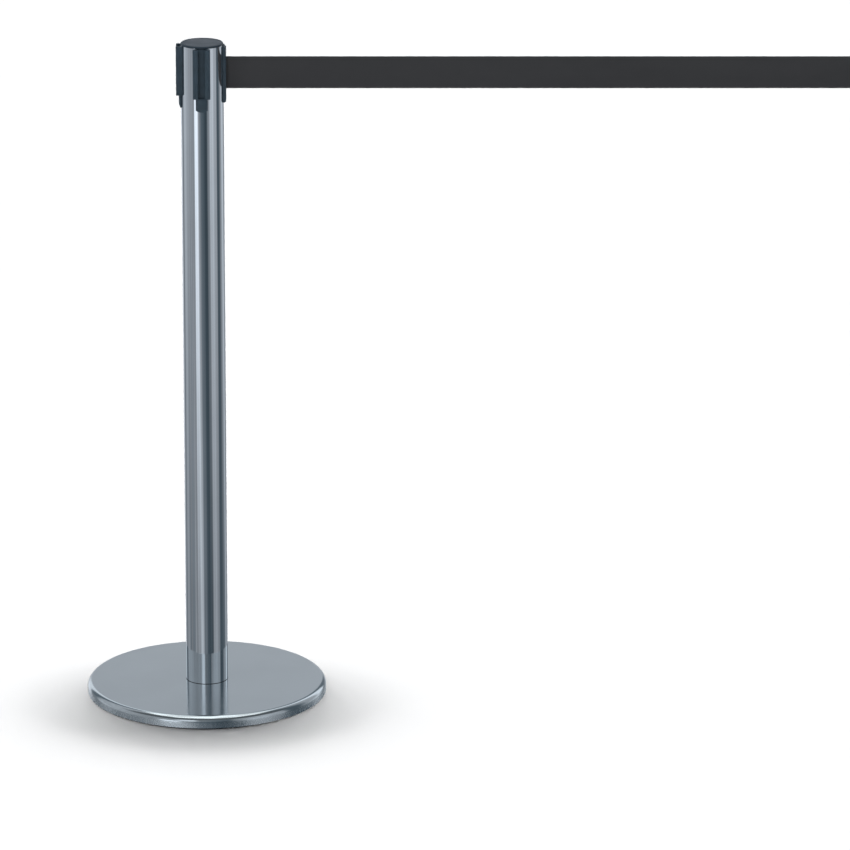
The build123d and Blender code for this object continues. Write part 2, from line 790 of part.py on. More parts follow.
def clip_body():
    low, high = belt_centre - clip_height / 2, belt_centre + clip_height / 2
    half = clip_thickness / 2
    far = clip_face + clip_length
    cover = half - clip_cover_thickness
    body = block((clip_face, far), (-half, half), (low, high))
    body = fillet(body.edges().filter_by(Axis.Z), clip_corner)
    body -= block((clip_face - OVER, far + OVER), (cover, half + OVER), (low - OVER, high + OVER))
    body -= block((clip_face + clip_wall, clip_face + loop_pin_place + clip_pocket_beyond_pin),
                  (clip_wall - half, half), (belt_low - clip_pocket_margin, belt_high + clip_pocket_margin))
    body -= block((clip_face - OVER, clip_face + clip_wall + OVER),
                  (-clip_slot_width / 2, clip_slot_width / 2),
                  (belt_low - belt_slot_margin, belt_high + belt_slot_margin))
    pin_hole = disc(loop_pin_radius + loop_pin_seat_gap, low + loop_pin_seat, high - loop_pin_seat)
    body -= Pos(clip_face + loop_pin_place, 0, 0) * pin_hole
    body += clip_rail(far)
    for seat in clip_screw_seats():
        body -= screw_seat(seat, (0, 1, 0), clip_screw_depth)
    return body


def clip_rail(far):
    """The T-shaped rail, which fits a receiver's channel and stands on its tongue."""
    low = receiver_low
    high = 2 * belt_centre - low
    lips = receiver_reach - channel_floor_gap - channel_depth
    neck = lips + rail_lip_gap + rail_gap
    head = channel_depth - 2 * rail_gap
    neck_half = mouth_width / 2 - rail_gap
    head_half = channel_width / 2 - rail_gap
    rail = block((far - OVER, far + neck + OVER), (-neck_half, neck_half),
                 (low + rail_neck_inset, high - rail_neck_inset))
    rail_head = block((far + neck, far + neck + head), (-head_half, head_half), (low, high))
    rail_head = chamfer(rail_head.edges().filter_by(Axis.Y), rail_bevel)
    return rail + rail_head


def clip_cover():
    low, high = belt_centre - clip_height / 2, belt_centre + clip_height / 2
    half = clip_thickness / 2
    blank = block((clip_face, clip_face + clip_length), (-half, half), (low, high))
    blank = fillet(blank.edges().filter_by(Axis.Z), clip_corner)
    cover = blank & block((clip_face - OVER, clip_face + clip_length + OVER),
                          (half - clip_cover_thickness, half + OVER), (low - OVER, high + OVER))
    for seat in clip_screw_seats():
        cover -= screw_seat(seat, (0, 1, 0), clip_screw_depth)
    return cover


def clip_screws():
    return [screw(clip_screw_depth, seat, (0, 1, 0)) for seat in clip_screw_seats()]


def all_pieces():
    washer, spring_washer, bolt = base_fasteners()
    shoe, lining = brake_shoe(), brake_lining()
    return {
        "floor_ring": floor_ring(),
        "base_weight": base_weight(),
        "base_cover": base_cover(),
        "base_washer": washer,
        "base_spring_washer": spring_washer,
        "base_bolt": bolt,
        "tube_gasket": tube_gasket(),
        "tube_foot_plug": tube_foot_plug(),
        "post_tube": post_tube(),
        "head_cap": head_cap(),
        "receiver_front": around(receiver(), FRONT),
        "receiver_left": around(receiver(), LEFT),
        "receiver_back": around(receiver(), BACK),
        "belt_outlet": belt_outlet(),
        "outlet_screws": Compound(outlet_screws()),
        "cassette_body": cassette_body(),
        "cassette_lid": cassette_lid(),
        "lid_screws": Compound(lid_screws()),
        "spool_shaft": spool_shaft(),
        "shaft_clip": shaft_clip(),
        "thrust_washer": thrust_washer(),
        "spring_cup": spring_cup(),
        "spring_cup_lid": spring_cup_lid(),
        "power_spring": power_spring(),
        "brake_drum": brake_drum(),
        "guide_pins": Compound(guide_pins()),
        "belt_lead": belt_lead(),
        "belt_span": belt_span(),
        "spool_arbor": spool_arbor(),
        "spool_bush_lower": spool_bush(arbor_low),
        "spool_bush_upper": spool_bush_upper(),
        "belt_spool": belt_spool(),
        "spool_flange_top": spool_flange_top(),
        "belt_anchor_pin": belt_anchor_pin(),
        "wound_belt": wound_belt(),
        "brake_carrier": brake_carrier(),
        "brake_shoe_back": shoe,
        "brake_lining_back": lining,
        "brake_shoe_front": around(shoe, 180),
        "brake_lining_front": around(lining, 180),
        "guide_roller_back": guide_roller(1),
        "guide_roller_front": guide_roller(-1),
        "belt_end_loop": belt_end_loop(),
        "belt_end_pin": belt_end_pin(),
        "clip_body": clip_body(),
        "clip_cover": clip_cover(),
        "clip_screws": Compound(clip_screws()),
    }


os.makedirs("parts", exist_ok=True)
for node, piece in all_pieces().items():
    export_step(piece, f"parts/{node}.step")
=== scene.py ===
"""Retractable belt stanchion: finished surfaces, light and camera.

Metres, in the part's own frame: +Z up, the origin on the floor under the base, the belt along +X.
"""
import json
from math import acos, atan2, cos, degrees, hypot, pi, radians, sin, tan

import bmesh
import bpy
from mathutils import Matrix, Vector


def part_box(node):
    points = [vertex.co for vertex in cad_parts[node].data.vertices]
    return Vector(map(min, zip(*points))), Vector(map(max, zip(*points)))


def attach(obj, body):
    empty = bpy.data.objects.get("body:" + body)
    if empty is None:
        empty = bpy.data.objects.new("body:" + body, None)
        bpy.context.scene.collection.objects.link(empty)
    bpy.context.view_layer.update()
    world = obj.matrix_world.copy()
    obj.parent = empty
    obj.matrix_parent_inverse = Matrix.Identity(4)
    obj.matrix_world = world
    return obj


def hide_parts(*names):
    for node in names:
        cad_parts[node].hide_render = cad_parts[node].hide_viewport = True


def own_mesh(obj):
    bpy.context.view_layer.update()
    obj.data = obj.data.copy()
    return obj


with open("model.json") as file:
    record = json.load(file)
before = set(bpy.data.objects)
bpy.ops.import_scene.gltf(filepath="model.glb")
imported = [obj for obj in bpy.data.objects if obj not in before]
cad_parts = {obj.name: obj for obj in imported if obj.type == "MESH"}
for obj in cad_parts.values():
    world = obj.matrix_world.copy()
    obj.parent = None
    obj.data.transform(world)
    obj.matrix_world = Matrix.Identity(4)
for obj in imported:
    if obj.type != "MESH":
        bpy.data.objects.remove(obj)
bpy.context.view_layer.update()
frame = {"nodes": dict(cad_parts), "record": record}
MM = 0.001
MERGE = 1e-7  # points nearer than this are one point

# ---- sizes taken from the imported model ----
base_low, base_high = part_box("base_cover")
tube_low, tube_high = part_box("post_tube")
cap_low, cap_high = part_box("head_cap")
ring_low, ring_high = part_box("floor_ring")
gasket_low, gasket_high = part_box("tube_gasket")
span_low, span_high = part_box("belt_span")
roll_low, roll_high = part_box("wound_belt")
lead_low, lead_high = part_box("belt_lead")
roller_low, roller_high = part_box("guide_roller_back")
end_pin_low, end_pin_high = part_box("belt_end_pin")
outlet_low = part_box("belt_outlet")[0]
tube_radius = tube_high.x
base_radius = base_high.x
belt_middle = (span_low.z + span_high.z) / 2
belt_width = span_high.z - span_low.z
belt_length = span_high.x - span_low.x

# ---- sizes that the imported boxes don't show ----
belt_thickness = 0.6 * MM
tube_wall = 1.5 * MM
slot_half_width = 5.3 * MM
slot_below_belt = 26.5 * MM  # how far the tube's slots reach below the belt's lower edge
outlet_slot_inset = 3 * MM  # how far above the outlet's foot its own slot ends
cap_plate = 2.8 * MM
core_radius = 10.05 * MM  # of the spool, where the belt starts to wind


# ---- nodes for the materials and the surroundings ----
class Nodes:
    """A node tree that is built up in small steps on one texture coordinate."""

    def __init__(self, tree, coordinate):
        self.nodes, self.links = tree.nodes, tree.links
        self.place = self.nodes.new("ShaderNodeTexCoord").outputs[coordinate]

    def link(self, source, target):
        self.links.new(source, target)

    def feed(self, socket, value):
        """Gives a socket a plain number, a plain colour or another node's output."""
        if isinstance(value, (int, float)):
            socket.default_value = value
        elif isinstance(value, tuple):
            socket.default_value = (*value, 1)
        else:
            self.link(value, socket)

    def axes(self):
        node = self.nodes.new("ShaderNodeSeparateXYZ")
        self.link(self.place, node.inputs[0])
        return tuple(node.outputs)

    def maths(self, operation, first, second):
        node = self.nodes.new("ShaderNodeMath")
        node.operation = operation
        self.feed(node.inputs[0], first)
        self.feed(node.inputs[1], second)
        return node.outputs[0]

    def weighted(self, *parts):
        """The sum of several values, each times its own weight."""
        shares = [self.maths("MULTIPLY", value, weight) for value, weight in parts]
        total = shares[0]
        for share in shares[1:]:
            total = self.maths("ADD", total, share)
        return total

    def noise(self, scale, detail=4.0, roughness=0.55, stretch=(1, 1, 1), distortion=0.0):
        mapping = self.nodes.new("ShaderNodeMapping")
        mapping.inputs["Scale"].default_value = stretch
        self.link(self.place, mapping.inputs["Vector"])
        node = self.nodes.new("ShaderNodeTexNoise")
        node.inputs["Scale"].default_value = scale
        node.inputs["Detail"].default_value = detail
        node.inputs["Roughness"].default_value = roughness
        node.inputs["Distortion"].default_value = distortion
        self.link(mapping.outputs["Vector"], node.inputs["Vector"])
        return node.outputs["Fac"]

    def remap(self, value, source, target=(0, 1), smooth=False):
        """Carries one range of values over to another, evenly or with soft ends."""
        node = self.nodes.new("ShaderNodeMapRange")
        node.interpolation_type = "SMOOTHSTEP" if smooth else "LINEAR"
        node.inputs["From Min"].default_value = source[0]
        node.inputs["From Max"].default_value = source[1]
        node.inputs["To Min"].default_value = target[0]
        node.inputs["To Max"].default_value = target[1]
        self.link(value, node.inputs["Value"])
        return node.outputs["Result"]

    def ramp(self, value, stops):
        node = self.nodes.new("ShaderNodeValToRGB")
        elements = node.color_ramp.elements
        while len(elements) < len(stops):
            elements.new(0.5)
        for element, (position, colour) in zip(elements, stops):
            element.position = position
            element.color = (*colour, 1)
        self.link(value, node.inputs["Fac"])
        return node.outputs["Color"]

    def mix(self, share, first, second):
        node = self.nodes.new("ShaderNodeMix")
        node.data_type = "RGBA"
        self.link(share, node.inputs["Factor"])
        first_colour, second_colour, mixed_colour = node.inputs[6], node.inputs[7], node.outputs[2]
        self.feed(first_colour, first)
        self.feed(second_colour, second)
        return mixed_colour

    def scaled(self, colour, factor):
        node = self.nodes.new("ShaderNodeVectorMath")
        node.operation = "SCALE"
        self.link(colour, node.inputs[0])
        self.link(factor, node.inputs["Scale"])
        return node.outputs[0]


class Finish(Nodes):
    """A procedural material on object coordinates."""

    def __init__(self, name, metallic=0.0, ior=1.5):
        self.material = bpy.data.materials.new(name)
        self.material.use_nodes = True
        super().__init__(self.material.node_tree, "Object")
        self.shader = self.nodes["Principled BSDF"]
        self.set("Metallic", metallic)
        self.set("IOR", ior)
        self.last_bump = None

    def set(self, socket, value):
        self.shader.inputs[socket].default_value = value

    def along(self, uv_map):
        """Reads the piece's own UV map in place of object coordinates."""
        node = self.nodes.new("ShaderNodeUVMap")
        node.uv_map = uv_map
        self.place = node.outputs["UV"]

    def pits(self, scale):
        node = self.nodes.new("ShaderNodeTexVoronoi")
        node.inputs["Scale"].default_value = scale
        self.link(self.place, node.inputs["Vector"])
        return node.outputs["Distance"]

    def bands(self, pitch, direction):
        """Even bands across one axis, a pitch in metres apart."""
        node = self.nodes.new("ShaderNodeTexWave")
        node.wave_type = "BANDS"
        node.bands_direction = direction
        node.inputs["Scale"].default_value = pi / 10 / pitch  # the bands are pi / 10 apart at a scale of 1
        self.link(self.place, node.inputs["Vector"])
        return node.outputs["Fac"]

    def colour(self, value, stops):
        self.link(self.ramp(value, stops), self.shader.inputs["Base Color"])

    def roughness(self, source):
        self.link(source, self.shader.inputs["Roughness"])

    def bump(self, height, depth):
        """Adds relief of a given depth in millimetres."""
        node = self.nodes.new("ShaderNodeBump")
        node.inputs["Strength"].default_value = 1.0
        node.inputs["Distance"].default_value = depth * MM
        self.link(height, node.inputs["Height"])
        if self.last_bump:
            self.link(self.last_bump, node.inputs["Normal"])
        self.last_bump = node.outputs["Normal"]
        self.link(self.last_bump, self.shader.inputs["Normal"])


# ---- materials ----
usual = (0.3, 0.7)  # the range that nearly all of a noise lies in


def tones(base, spread):
    """A darker and a lighter shade of one colour."""
    dark = tuple(channel * (1 - spread) for channel in base)
    light = tuple(min(1, channel * (1 + spread)) for channel in base)
    return dark, light


def polished_metal(name, colour, spread, haze, grain, ripple, ripple_depth, scuffed_below=0):
    """Bright plated metal: a little uneven in tone, with fine polishing lines and soft smudges.

    grain and ripple stretch the polishing lines and the slow waves; ripple_depth is in millimetres.
    Below the height scuffed_below, in metres, it is scuffed by shoes and floor machines.
    """
    finish = Finish(name, metallic=1.0)
    dark, light = tones(colour, spread)
    cloud = finish.noise(9, detail=3)
    finish.colour(cloud, [(0.3, dark), (0.7, light)])
    lines = finish.noise(420, detail=6, stretch=grain)
    smudge = finish.noise(28, detail=5, distortion=0.6)
    gloss = finish.maths("ADD", finish.remap(smudge, usual, haze), finish.remap(lines, usual, (0.0, 0.02)))
    if scuffed_below:
        height = finish.axes()[2]
        low = finish.remap(height, (0.7 * scuffed_below, scuffed_below), (1, 0))
        marks = finish.remap(finish.noise(330, detail=5, distortion=0.8), usual)
        scuffs = finish.maths("MULTIPLY", marks, low)
        gloss = finish.maths("ADD", gloss, finish.maths("MULTIPLY", scuffs, 0.22))
        finish.bump(scuffs, 0.05)
    finish.roughness(gloss)
    finish.bump(finish.noise(38, detail=1, stretch=ripple), ripple_depth)
    finish.bump(lines, 0.0004)
    return finish.material


def moulded_plastic(name, colour, roughness, texture_depth=0.012, spread=0.12):
    """Injection-moulded plastic with a fine spark-eroded texture and rubbed patches."""
    finish = Finish(name, ior=1.48)
    finish.set("Specular IOR Level", 0.35)
    dark, light = tones(colour, spread)
    cloud = finish.noise(60, detail=4)
    speckle = finish.noise(1400, detail=2)
    finish.colour(finish.weighted((cloud, 0.75), (speckle, 0.25)), [(0.36, dark), (0.64, light)])
    rubbed = finish.noise(22, detail=5, distortion=0.8)
    finish.roughness(finish.remap(rubbed, (0.35, 0.65), roughness))
    finish.bump(finish.pits(900), texture_depth)
    finish.bump(finish.noise(140, detail=3), 0.01)
    return finish.material


def plated_steel(name, colour, roughness, grain=(1, 1, 1), stain=(1, 1, 1)):
    """Zinc-plated or blued steel: drawn grain, with a faint bloom of the plating."""
    finish = Finish(name, metallic=1.0)
    dark, light = tones(colour, 0.16)
    bloom = finish.noise(120, detail=5, distortion=1.2)
    stained = tuple(channel * tint for channel, tint in zip(colour, stain))
    finish.colour(bloom, [(0.25, dark), (0.5, colour), (0.62, stained), (0.8, light)])
    drawn = finish.noise(900, detail=5, stretch=grain)
    finish.roughness(finish.remap(drawn, usual, roughness))
    finish.bump(drawn, 0.006)
    return finish.material


def webbing(name, uv_map=None):
    """Woven polyester webbing: warp ribs along the belt, fine weft picks across it.

    With a UV map, the map's U runs along the belt; without one, the belt lies along X.
    """
    finish = Finish(name, ior=1.45)
    finish.set("Sheen Weight", 0.08)
    finish.set("Sheen Roughness", 0.5)
    finish.set("Sheen Tint", (0.6, 0.6, 0.65, 1))
    rib_pitch, pick_pitch = 1.6 * MM, 1.1 * MM
    if uv_map:
        finish.along(uv_map)
    ribs = finish.bands(rib_pitch, "Y" if uv_map else "Z")
    picks = finish.bands(pick_pitch, "X")
    weave = finish.maths("MULTIPLY", ribs, picks)
    fuzz = finish.noise(2600, detail=3)
    worn = finish.noise(14, detail=4, stretch=(0.25, 1, 1))
    tone = finish.weighted((weave, 0.25), (fuzz, 0.45), (worn, 0.3))
    finish.colour(tone, [(0.25, (0.03, 0.03, 0.032)), (0.7, (0.047, 0.047, 0.05))])
    finish.roughness(finish.remap(fuzz, usual, (0.75, 0.95)))
    finish.bump(weave, 0.05)
    finish.bump(fuzz, 0.02)
    return finish.material


def cast_iron():
    """A painted grey casting: orange-peel skin with sand marks."""
    finish = Finish("painted_casting")
    skin = finish.noise(180, detail=6, roughness=0.65)
    finish.colour(skin, [(0.3, (0.05, 0.05, 0.055)), (0.7, (0.11, 0.11, 0.115))])
    finish.roughness(finish.remap(skin, usual, (0.55, 0.8)))
    finish.bump(finish.pits(300), 0.12)
    finish.bump(skin, 0.18)
    return finish.material


def black_rubber():
    """Extruded rubber: dull, with scuffs and dust in its pores."""
    finish = Finish("black_rubber")
    dust = finish.noise(90, detail=6, distortion=0.5)
    finish.colour(dust, [(0.35, (0.012, 0.012, 0.013)), (0.75, (0.04, 0.039, 0.037))])
    finish.roughness(finish.remap(dust, usual, (0.72, 0.95)))
    finish.bump(finish.noise(700, detail=3), 0.03)
    return finish.material


def friction_lining():
    """Pressed friction material: brown, with fibres and brassy specks."""
    finish = Finish("brake_lining", ior=1.45)
    brass, binder, shade = (0.30, 0.22, 0.12), (0.11, 0.075, 0.055), (0.07, 0.05, 0.04)
    finish.colour(finish.pits(1100), [(0.05, brass), (0.2, binder), (0.9, shade)])
    fibres = finish.noise(600, detail=4, stretch=(1, 1, 4))
    finish.roughness(finish.remap(fibres, usual, (0.7, 0.95)))
    finish.bump(fibres, 0.04)
    return finish.material


def sintered_bronze():
    """Oil-filled bronze with open pores."""
    finish = Finish("sintered_bronze", metallic=1.0)
    oil = finish.noise(300, detail=4)
    finish.colour(oil, [(0.3, (0.36, 0.22, 0.09)), (0.7, (0.62, 0.42, 0.2))])
    finish.roughness(finish.remap(oil, usual, (0.3, 0.5)))
    finish.bump(finish.pits(2200), 0.02)
    return finish.material


# each slot's material; a pair of roughnesses is the glossiest and the dullest patch
materials = {
    "tube_chrome": polished_metal("polished_tube", (0.64, 0.68, 0.71), spread=0.04, haze=(0.02, 0.05),
                                  grain=(1, 1, 0.012), ripple=(1, 1, 0.12), ripple_depth=0.11),
    "base_chrome": polished_metal("polished_base", (0.565, 0.615, 0.635), spread=0.03, haze=(0.09, 0.14),
                                  grain=(1, 1, 1), ripple=(1, 1, 1), ripple_depth=0.02,
                                  scuffed_below=13 * MM),
    "head_plastic": moulded_plastic("head_moulding", (0.034, 0.056, 0.075), (0.32, 0.5)),
    "cap_plastic": moulded_plastic("cap_moulding", (0.026, 0.042, 0.058), (0.3, 0.46)),
    "clip_plastic": moulded_plastic("clip_moulding", (0.025, 0.03, 0.035), (0.36, 0.55)),
    "inner_plastic": moulded_plastic("cassette_moulding", (0.035, 0.035, 0.038), (0.45, 0.65)),
    "white_plastic": moulded_plastic("acetal_moulding", (0.70, 0.69, 0.65), (0.28, 0.42),
                                     texture_depth=0.004, spread=0.05),
    "belt": webbing("belt_webbing"),
    "rubber": black_rubber(),
    "cast_iron": cast_iron(),
    "zinc_steel": plated_steel("zinc_plate", (0.58, 0.59, 0.60), (0.26, 0.42), stain=(1.0, 0.98, 0.9)),
    "spring_steel": plated_steel("blued_spring", (0.26, 0.28, 0.33), (0.2, 0.36), grain=(1, 1, 0.1),
                                 stain=(1.1, 0.9, 0.8)),
    "bronze": sintered_bronze(),
    "brake_lining": friction_lining(),
    "black_screw": plated_steel("blackened_screw", (0.05, 0.052, 0.055), (0.3, 0.45)),
}
belt_strip = webbing("belt_webbing_wound", uv_map="strip")


# ---- shared ways of making a mesh ----
def settle(bm, name, body, slot, nodes, sharp=35, material=None, keep_shading=False):
    """Turns a bmesh into a finished piece: shading, material, body and the nodes it stands for.

    Edges that bend more than sharp degrees stay crisp. keep_shading leaves each face smooth or flat
    as it comes.
    """
    for face in bm.faces:
        if not keep_shading:
            face.smooth = True
    for edge in bm.edges:
        if len(edge.link_faces) == 2 and edge.calc_face_angle(0) > radians(sharp):
            edge.smooth = False
    mesh = bpy.data.meshes.new(name)
    bm.to_mesh(mesh)
    bm.free()
    mesh.materials.append(material or materials[slot])
    piece = bpy.data.objects.new(name, mesh)
    bpy.context.scene.collection.objects.link(piece)
    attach(piece, body)
    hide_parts(*nodes)
    return piece


def spin_round(bm, steps):
    """Turns everything in a bmesh once round the Z axis and merges the seam."""
    bmesh.ops.spin(bm, geom=list(bm.verts) + list(bm.edges), cent=(0, 0, 0), axis=(0, 0, 1),
                   angle=2 * pi, steps=steps, use_merge=True, use_duplicate=False)
    bmesh.ops.remove_doubles(bm, verts=list(bm.verts), dist=MERGE)


def lathe(points, rounded, steps):
    """A turned solid from a closed outline of (radius, height) in metres.

    rounded lists (corner number, radius, segments) for the corners that are rounded off.
    """
    bm = bmesh.new()
    corners = [bm.verts.new((radius, 0, height)) for radius, height in points]
    bm.faces.new(corners)
    for number, radius, segments in rounded:
        bmesh.ops.bevel(bm, geom=[corners[number]], offset=radius, offset_type="OFFSET", segments=segments,
                        profile=0.5, affect="VERTICES", material=-1, clamp_overlap=False)
    bmesh.ops.delete(bm, geom=list(bm.faces), context="FACES_ONLY")
    on_axis = [edge for edge in bm.edges if all(abs(vert.co.x) < MERGE for vert in edge.verts)]
    bmesh.ops.delete(bm, geom=on_axis, context="EDGES")
    spin_round(bm, steps)
    bmesh.ops.recalc_face_normals(bm, faces=list(bm.faces))
    return bm


def eased_copy(node, width, segments):
    """A merged copy of a node with its outer edges eased by width millimetres."""
    merge, shortest = 2e-6, 0.6 * MM
    flat, slight, sharp = 0.6, 0.3, 32  # bends between faces, in degrees
    bm = bmesh.new()
    bm.from_mesh(frame["nodes"][node].data)
    bmesh.ops.remove_doubles(bm, verts=list(bm.verts), dist=merge)
    bmesh.ops.dissolve_limit(bm, angle_limit=radians(flat), verts=list(bm.verts), edges=list(bm.edges),
                             use_dissolve_boundaries=False)
    for face in bm.faces:
        bends = [degrees(edge.calc_face_angle(0)) for edge in face.edges if len(edge.link_faces) == 2]
        face.smooth = any(slight < bend < sharp for bend in bends)
    edges = [edge for edge in bm.edges
             if len(edge.link_faces) == 2 and edge.calc_face_angle(0) > radians(sharp)
             and edge.is_convex and edge.calc_length() > shortest]
    if edges:
        made = bmesh.ops.bevel(bm, geom=edges, offset=width * MM, offset_type="OFFSET", segments=segments,
                               profile=0.5, affect="EDGES", material=-1, clamp_overlap=True)
        for face in made["faces"]:
            face.smooth = True
    return bm


# ---- base ----
def make_base():
    """The sheet cover with its rounded rim, the rubber ring it stands on and the seal under the tube."""
    sheet, bolt_hole, rim, rim_segments = 0.8 * MM, 6.6 * MM, 9 * MM, 14
    top, edge, skirt = base_high.z, base_radius, base_low.z
    outline = [(bolt_hole, top), (edge, top), (edge, skirt), (edge - sheet, skirt),
               (edge - sheet, top - sheet), (bolt_hole, top - sheet)]
    rounded = [(1, rim, rim_segments), (4, rim - sheet, rim_segments)]
    settle(lathe(outline, rounded, steps=224), "base_cover_polished", "post", "base_chrome", ["base_cover"])

    ring_width, foot_round = 15 * MM, 1.2 * MM
    outer, inner = ring_high.x, ring_high.x - ring_width
    low, high = ring_low.z, ring_high.z
    outline = [(inner, low), (outer, low), (outer, high), (inner, high)]
    rounded = [(0, foot_round, 4), (1, foot_round, 4)]
    settle(lathe(outline, rounded, steps=160), "floor_ring_rubber", "post", "rubber", ["floor_ring"])

    plug_room, seal_round = 0.2 * MM, 0.2 * MM
    outer, inner = gasket_high.x, tube_radius - tube_wall - plug_room
    low, high = gasket_low.z, gasket_high.z
    outline = [(inner, low), (outer, low), (outer, high), (inner, high)]
    rounded = [(1, seal_round, 3), (2, seal_round, 3)]
    settle(lathe(outline, rounded, steps=128), "tube_seal", "post", "rubber", ["tube_gasket"])


# ---- tube and cap ----
def make_tube():
    """The tube's outer face is turned, slotted from the top in four places and given its wall."""
    slot_end = span_low.z - slot_below_belt
    outlet_slot_end = outlet_low.z + outlet_slot_inset
    foot_edge = tube_low.z + 0.5 * MM
    heights = (tube_low.z, foot_edge, slot_end, outlet_slot_end, tube_high.z)
    bm = bmesh.new()
    line = [bm.verts.new((tube_radius, 0, height)) for height in heights]
    for first, second in zip(line, line[1:]):
        bm.edges.new((first, second))
    spin_round(bm, steps=192)
    for axis in ((1, 0, 0), (0, 1, 0)):
        for side in (-1, 1):
            upper = [face for face in bm.faces if face.calc_center_median().z > slot_end]
            around = {edge for face in upper for edge in face.edges}
            around |= {vert for face in upper for vert in face.verts}
            bmesh.ops.bisect_plane(bm, geom=upper + list(around), dist=MERGE,
                                   plane_co=Vector(axis) * side * slot_half_width, plane_no=axis)
    in_slots = []
    for face in bm.faces:
        centre = face.calc_center_median()
        at_outlet = centre.x > tube_radius / 2 and abs(centre.y) < slot_half_width
        end = outlet_slot_end if at_outlet else slot_end
        if centre.z > end and min(abs(centre.x), abs(centre.y)) < slot_half_width:
            in_slots.append(face)
    bmesh.ops.delete(bm, geom=in_slots, context="FACES")
    bmesh.ops.recalc_face_normals(bm, faces=list(bm.faces))
    some_face = bm.faces[:][0]
    centre = some_face.calc_center_median()
    if some_face.normal.dot(Vector((centre.x, centre.y, 0))) < 0:
        bmesh.ops.reverse_faces(bm, faces=list(bm.faces))
    bmesh.ops.solidify(bm, geom=list(bm.faces), thickness=tube_wall)
    settle(bm, "post_tube_polished", "post", "tube_chrome", ["post_tube"])


def make_cap():
    """The cap: a flat plate with an eased rim, a moulded ring line and a skirt inside the tube."""
    radius, top, low = cap_high.x, cap_high.z, cap_high.z - cap_plate
    rim_round, under_round = 1.2 * MM, 0.25 * MM
    fit, skirt_wall = 0.15 * MM, 2 * MM
    line_inset, line_slope, line_floor, line_depth = 3.2 * MM, 0.2 * MM, 0.4 * MM, 0.25 * MM
    start = radius - line_inset
    ring_line = [(start, top), (start + line_slope, top - line_depth),
                 (start + line_slope + line_floor, top - line_depth),
                 (start + 2 * line_slope + line_floor, top)]
    skirt = tube_radius - tube_wall - fit
    inside = skirt - skirt_wall
    outline = [(0, top), *ring_line, (radius, top), (radius, low), (skirt, low), (skirt, cap_low.z),
               (inside, cap_low.z), (inside, low), (0, low)]
    cap = lathe(outline, rounded=[(5, rim_round, 6), (6, under_round, 2)], steps=144)
    settle(cap, "head_cap_moulded", "post", "cap_plastic", ["head_cap"])


# ---- belt ----
def route(points):
    """The belt's centre line: a smooth spline through its control points, read back as points."""
    curve = bpy.data.curves.new("belt_line", "CURVE")
    curve.dimensions = "3D"
    spline = curve.splines.new("NURBS")
    spline.points.add(len(points) - 1)
    for point, place in zip(spline.points, points):
        point.co = (*place, 1)
    spline.order_u = 3
    spline.use_endpoint_u = True
    spline.resolution_u = 12
    guide = bpy.data.objects.new("belt_line", curve)
    bpy.context.scene.collection.objects.link(guide)
    mesh = bpy.data.meshes.new_from_object(guide.evaluated_get(bpy.context.evaluated_depsgraph_get()))
    places = [vertex.co.copy() for vertex in mesh.vertices]
    bpy.data.objects.remove(guide)
    bpy.data.meshes.remove(mesh)
    return places


def section_outline(bm, x):
    """The webbing's section as a wire: a flat middle and a slightly thicker rounded selvedge each side."""
    half, thick = belt_width / 2, belt_thickness / 2
    selvedge, shoulder, rounding = 1.9 * MM, 1.4 * MM, 0.3 * MM  # measured in from the belt's edge
    extra, pinch = 0.08 * MM, 0.05 * MM
    side = [(thick, half - selvedge), (thick + extra, half - shoulder), (thick + extra, half - rounding),
            (thick - pinch, half)]
    points = side + [(-y, z) for y, z in reversed(side)]
    points += [(-y, -z) for y, z in points]
    corners = [bm.verts.new((x, y, belt_middle + z)) for y, z in points]
    return [bm.edges.new((a, b)) for a, b in zip(corners, corners[1:] + corners[:1])]


def make_belt_span():
    """The drawn belt, its section carried along its line; returns the piece and the line."""
    step = belt_length / 4
    line = route([(span_low.x + step * index, 0, belt_middle) for index in range(5)])
    bm = bmesh.new()
    edges = section_outline(bm, line[0].x)
    bmesh.ops.edgeloop_fill(bm, edges=edges)
    for here, there in zip(line, line[1:]):
        made = bmesh.ops.extrude_edge_only(bm, edges=edges)["geom"]
        moved = [item for item in made if isinstance(item, bmesh.types.BMVert)]
        edges = [item for item in made
                 if isinstance(item, bmesh.types.BMEdge) and all(vert in moved for vert in item.verts)]
        bmesh.ops.translate(bm, verts=moved, vec=there - here)
    bmesh.ops.edgeloop_fill(bm, edges=edges)
    bmesh.ops.recalc_face_normals(bm, faces=list(bm.faces))
    return settle(bm, "belt_drawn", "post", "belt", ["belt_span"], sharp=60), line


